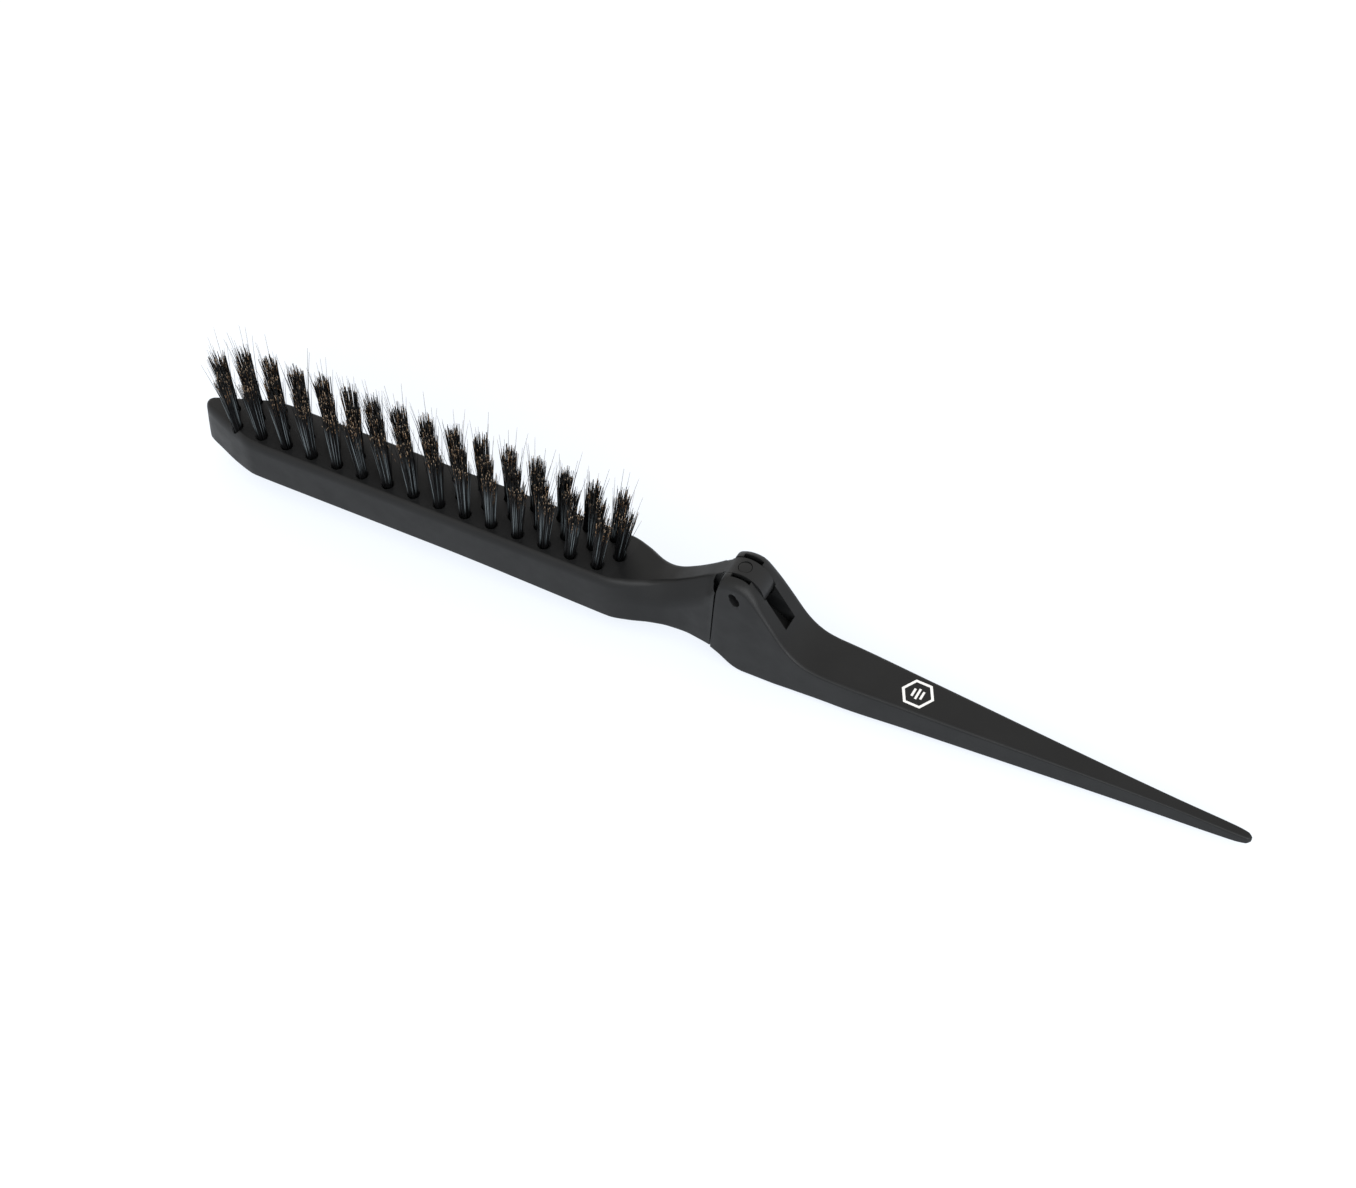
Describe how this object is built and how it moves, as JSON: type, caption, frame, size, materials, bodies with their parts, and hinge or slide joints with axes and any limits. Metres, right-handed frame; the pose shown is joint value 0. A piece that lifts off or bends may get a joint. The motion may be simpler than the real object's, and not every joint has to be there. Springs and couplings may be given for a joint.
{
  "type": "folding back-combing brush",
  "caption": "Folding back-combing brush: a slim head with staggered rows of bristle tufts, hinged to a pointed sectioning tail by a clevis with a sprung lock button.",
  "frame": {"origin": "centre of the bounding box's bottom, on the surface the brush lies on when it is on its back", "axes": "+X along the brush from the head's tip towards the tail's tip, +Z the side the bristles stand on, +Y across the brush to the left"},
  "size_m": [0.24, 0.0138, 0.0297],
  "materials": {
    "soft_touch_black": "soft-touch black moulding with a very fine satin grain",
    "button_black": "plain matt black plastic",
    "steel": "darkened steel",
    "bristle_black": "glossy black and dark brown bristle"
  },
  "bodies": {
    "handle": {"handle": "soft_touch_black", "hinge_pin": "steel"},
    "head": {"head_body": "soft_touch_black", "lock_spring": "steel", "tuft_near_01": "bristle_black", "tuft_near_02": "bristle_black", "tuft_near_03": "bristle_black", "tuft_near_04": "bristle_black", "tuft_near_05": "bristle_black", "tuft_near_06": "bristle_black", "tuft_near_07": "bristle_black", "tuft_near_08": "bristle_black", "tuft_near_09": "bristle_black", "tuft_near_10": "bristle_black", "tuft_near_11": "bristle_black", "tuft_near_12": "bristle_black", "tuft_near_13": "bristle_black", "tuft_near_14": "bristle_black", "tuft_near_15": "bristle_black", "tuft_middle_01": "bristle_black", "tuft_middle_02": "bristle_black", "tuft_middle_03": "bristle_black", "tuft_middle_04": "bristle_black", "tuft_middle_05": "bristle_black", "tuft_middle_06": "bristle_black", "tuft_middle_07": "bristle_black", "tuft_middle_08": "bristle_black", "tuft_middle_09": "bristle_black", "tuft_middle_10": "bristle_black", "tuft_middle_11": "bristle_black", "tuft_middle_12": "bristle_black", "tuft_middle_13": "bristle_black", "tuft_middle_14": "bristle_black", "tuft_middle_15": "bristle_black", "tuft_middle_16": "bristle_black", "tuft_far_01": "bristle_black", "tuft_far_02": "bristle_black", "tuft_far_03": "bristle_black", "tuft_far_04": "bristle_black", "tuft_far_05": "bristle_black", "tuft_far_06": "bristle_black", "tuft_far_07": "bristle_black", "tuft_far_08": "bristle_black", "tuft_far_09": "bristle_black", "tuft_far_10": "bristle_black", "tuft_far_11": "bristle_black", "tuft_far_12": "bristle_black", "tuft_far_13": "bristle_black", "tuft_far_14": "bristle_black", "tuft_far_15": "bristle_black"},
    "lock_button": {"lock_button": "button_black"}
  },
  "joints": [
    {"name": "head_fold", "type": "hinge", "parent": "handle", "child": "head", "pos_m": [0.0108, 0, 0.0229], "axis": [0, 1, 0], "range_deg": [0, 168]},
    {"name": "button_press", "type": "slide", "parent": "head", "child": "lock_button", "axis": [0, 0, -1], "range_m": [0, 0.0008], "stiffness_N_per_m": 300, "springref_m": -0.0005, "deforming": ["lock_spring"]}
  ]
}
